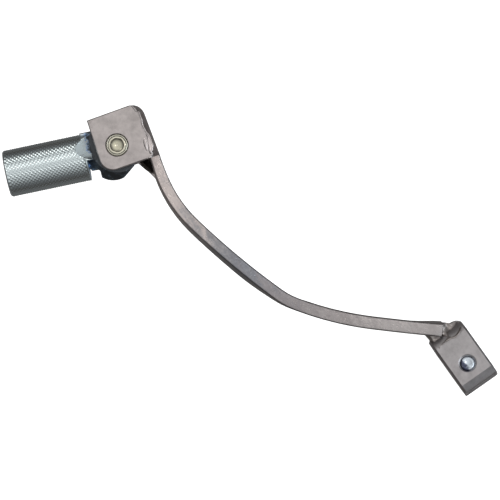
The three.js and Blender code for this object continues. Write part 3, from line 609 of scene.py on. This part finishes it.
def add_bead(name, vertices, faces, material, placing=Matrix.Identity(4)):
    """A smooth bead from points in millimetres, which stands for the CAD node it is named after."""
    mesh = bpy.data.meshes.new(name)
    mesh.from_pydata([placing @ (Vector(v) * MM) for v in vertices], [], faces)
    mesh.materials.append(material)
    mesh.validate()
    work = bmesh.new()
    work.from_mesh(mesh)
    bmesh.ops.recalc_face_normals(work, faces=work.faces)
    work.to_mesh(mesh)
    work.free()
    for polygon in mesh.polygons:
        polygon.use_smooth = True
    piece = bpy.data.objects.new(name, mesh)
    bpy.context.scene.collection.objects.link(piece)
    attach(piece, "lever")
    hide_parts(name.removeprefix("bead_"))


def grid_faces(rows, columns, closed=False):
    """Faces between rows of points. A closed row's last point joins its first."""
    faces = []
    for row in range(rows - 1):
        for column in range(columns if closed else columns - 1):
            after = (column + 1) % columns
            faces.append((row * columns + column, row * columns + after,
                          (row + 1) * columns + after, (row + 1) * columns + column))
    return faces


def finish_node(name, material, bevel=0.2, segments=2):
    """Gives a CAD node its material, merged corners, rounded edges and clean normals.

    The bevel is the edges' width in millimetres.
    """
    node = NODES[name]
    node.data.materials.clear()
    node.data.materials.append(material)
    for polygon in node.data.polygons:
        polygon.use_smooth = True
    weld = node.modifiers.new("weld", "WELD")
    weld.merge_threshold = MERGE_DISTANCE
    if bevel:
        edges = node.modifiers.new("rounded_edges", "BEVEL")
        edges.width = bevel * MM
        edges.segments = segments
        edges.limit_method = "ANGLE"
        edges.angle_limit = SHARP_ANGLE
        edges.use_clamp_overlap = True
    normals = node.modifiers.new("clean_normals", "WEIGHTED_NORMAL")
    normals.keep_sharp = True


def bell(offset, width):
    """1 in the middle, falling smoothly to nothing a few widths away."""
    return math.exp(-(offset / width) ** 2)


# ---------------------------------------------------------------- head welds

def crown_edge(x):
    """The crown's edge at x, eased between the listed points."""
    for (x0, y0), (x1, y1) in zip(CROWN_EDGE, CROWN_EDGE[1:]):
        if x <= x1:
            share = min(1.0, max(0.0, (x - x0) / (x1 - x0)))
            return y0 + (y1 - y0) * share * share * (3.0 - 2.0 * share)
    return CROWN_EDGE[-1][1]


def web_outer(x):
    """The web's outer side, with its rounded front corner."""
    past = x - (WEB_FRONT_X - WEB_CORNER)
    if past <= 0.0:
        return WEB_OUTER_Y
    return WEB_OUTER_Y + WEB_CORNER - math.sqrt(max(0.0, WEB_CORNER ** 2 - past ** 2))


def crater_relief(x, y):
    """An oval swelling, with a groove round all but its outer side and a slanting seam across it."""
    reach = math.hypot((x - CRATER.x) / CRATER_HALF.x, (y - CRATER.y) / CRATER_HALF.y)
    relief = CRATER_SWELL * max(0.0, 1.0 - reach ** 2)
    if y > CRATER.y - GROOVE_OPENING:
        relief -= GROOVE_DEPTH * bell(reach - 1.0, GROOVE_WIDTH)
    if reach < SEAM_REACH:
        relief -= SEAM_DEPTH * bell(y - CRATER.y + SEAM_SLANT * (x - CRATER.x), SEAM_WIDTH)
    return relief


def crown_relief(x, y):
    """Height of the bead's crown over the plate's top: a rim at its edge and an end crater."""
    rim = RIM_HEIGHT * bell(y - crown_edge(x), RIM_WIDTH)
    ripple = CROWN_RIPPLE * noise.noise(Vector((0.55 * x, 0.9 * y, 0.0)))
    inward = min(1.0, max(0.0, (WELD_INNER_Y - y) / WELD_FADE))
    return (rim + crater_relief(x, y) + ripple) * inward - CROWN_SINK


def crown_points(x, edge, side):
    """Points across the crown at x, from its inner side to its edge."""
    points = []
    for column in range(CROWN_COLUMNS):
        y = WELD_INNER_Y + (edge - WELD_INNER_Y) * column / (CROWN_COLUMNS - 1)
        points.append((x, y, side * (PLATE_TOP + crown_relief(x, y))))
    return points


def slope_points(x, edge, side):
    """Points down the lumpy slope at x, from the crown's edge to the web."""
    top = PLATE_TOP + crown_relief(x, edge)
    outer = min(web_outer(x) + WEB_INSET, edge - SLOPE_LEAST)
    points = []
    for column in range(1, SLOPE_COLUMNS + 1):
        share = column / SLOPE_COLUMNS
        y = edge + (outer - edge) * share ** 0.8
        z = top + (WELD_FOOT - top) * share ** 1.25
        lump = SLOPE_LUMPS * noise.noise(Vector((0.7 * x, 1.3 * y, 4.0 * share)))
        points.append((x, y + lump * math.sin(math.pi * share), side * z))
    return points


def head_weld(name, side, material):
    """A bead along the plate's edge: a crown level with the plate, then a rough slope to the web."""
    rows = HEAD_WELD_ROWS
    columns = CROWN_COLUMNS + SLOPE_COLUMNS
    vertices = []
    for row in range(rows):
        x = HEAD_WELD_START + HEAD_WELD_LENGTH * row / (rows - 1)
        edge = crown_edge(x)
        vertices += crown_points(x, edge, side) + slope_points(x, edge, side)
    faces = grid_faces(rows, columns)
    # Each end gets a corner below its inner point, which closes the end, the inner side and the foot.
    for row in (0, rows - 1):
        x, y, _ = vertices[row * columns]
        faces.append(tuple(range(row * columns, (row + 1) * columns)) + (len(vertices),))
        vertices.append((x, y, side * WELD_FOOT))
    corners = (len(vertices) - 1, len(vertices) - 2)
    for column in (0, columns - 1):
        faces.append(tuple(row * columns + column for row in range(rows)) + corners)
    add_bead(name, vertices, faces, material, HEAD)


# ---------------------------------------------------------------- clamp welds

def along_points(points, share):
    """The place that far along a row of points, 0 to 1, on a smooth curve through them."""
    place = share * (len(points) - 1)
    first = min(int(place), len(points) - 2)
    near = [Vector(points[min(max(first + step, 0), len(points) - 1)]) for step in (-1, 0, 1, 2)]
    t = place - first
    bend = near[1] + 0.5 * t * (near[2] - near[0])
    bend += t * t * (near[0] - 2.5 * near[1] + 2.0 * near[2] - 0.5 * near[3])
    return bend + t ** 3 * (1.5 * (near[1] - near[2]) + 0.5 * (near[3] - near[0]))


def fillet_relief(point, share):
    """Height over the straight line from the boss to the bar, that share of the way across."""
    arch = math.sin(math.pi * share)
    dish = FILLET_DISH * arch ** 1.3
    toe = TOE_HEIGHT * bell(share - TOE_PLACE, TOE_WIDTH)
    ripple = FILLET_RIPPLE * math.sin(2.2 * point.y + 3.0 * share) * arch
    lump = FILLET_LUMPS * noise.noise(Vector((0.55 * point.x, 0.55 * point.y, 1.7)))
    pit = PIT_DEPTH * bell((point.xy - WELD_PIT).length, PIT_WIDTH)
    return toe + ripple + lump - dish - pit


def fillet_ring(start, end):
    """Points over the fillet's top and back along its underside."""
    top = []
    for column in range(CLAMP_WELD_COLUMNS):
        share = column / (CLAMP_WELD_COLUMNS - 1)
        point = start.lerp(end, share)
        top.append((point.x, point.y, point.z + fillet_relief(point, share)))
    under = [(x, y, WELD_MIDDLE - UNDERSIDE_SHARE * (z - WELD_MIDDLE)) for x, y, z in reversed(top)]
    return top + under


def clamp_weld(name, ridge, flank, material):
    """A fillet dished between the boss and the bar, with a raised rippled toe on the boss."""
    rows = CLAMP_WELD_ROWS
    count = 2 * CLAMP_WELD_COLUMNS
    vertices = []
    for row in range(rows):
        share = row / (rows - 1)
        vertices += fillet_ring(along_points(ridge, share), along_points(flank, share))
    faces = grid_faces(rows, count, closed=True)
    for row in (0, rows - 1):
        faces.append(tuple(row * count + column for column in range(count)))
    add_bead(name, vertices, faces, material)


# ---------------------------------------------------------------- main

def finish_nodes():
    boss_silver = silver_material("silver_boss", BOSS_TONE, roughness=0.46, grain=0.026)
    plate_silver = silver_material("silver_plate", PLATE_TONE, roughness=0.44, grain=0.020)
    zinc = zinc_material()
    bronze = bronze_material()
    finish_node("arm", bar_material(), bevel=0)
    finish_node("clamp_boss", boss_silver, bevel=0.3)
    finish_node("upper_fork_plate", plate_silver, bevel=0.4)
    finish_node("lower_fork_plate", lower_plate_material(), bevel=0.2)
    finish_node("pivot_screw", screw_material(), bevel=0.08)
    finish_node("pivot_nut", zinc, bevel=0.15)
    finish_node("nut_washer", zinc, bevel=0.1)
    finish_node("pinch_washer", zinc, bevel=0.1)
    finish_node("pinch_bolt", bolt_material(), bevel=0.1)
    finish_node("thrust_washer_upper", bronze, bevel=0.05)
    finish_node("thrust_washer_lower", bronze, bevel=0.05)
    finish_node("return_spring", spring_material(), bevel=0)
    finish_node("toe_peg", peg_material(), bevel=0.06, segments=1)


def add_welds():
    weld = weld_material()
    bead_silver = silver_material("silver_bead", BEAD_TONE, roughness=0.27, grain=0.030)
    clamp_weld("bead_clamp_weld_inboard", INBOARD_RIDGE, INBOARD_FLANK, weld)
    clamp_weld("bead_clamp_weld_outboard", OUTBOARD_RIDGE, OUTBOARD_FLANK, weld)
    head_weld("bead_head_weld_upper", 1, bead_silver)
    head_weld("bead_head_weld_lower", -1, bead_silver)


finish_nodes()
add_welds()
add_camera()
add_world()
add_floor()
for softbox in SOFTBOXES:
    add_softbox(*softbox)
bpy.context.scene.view_settings.view_transform = "Standard"
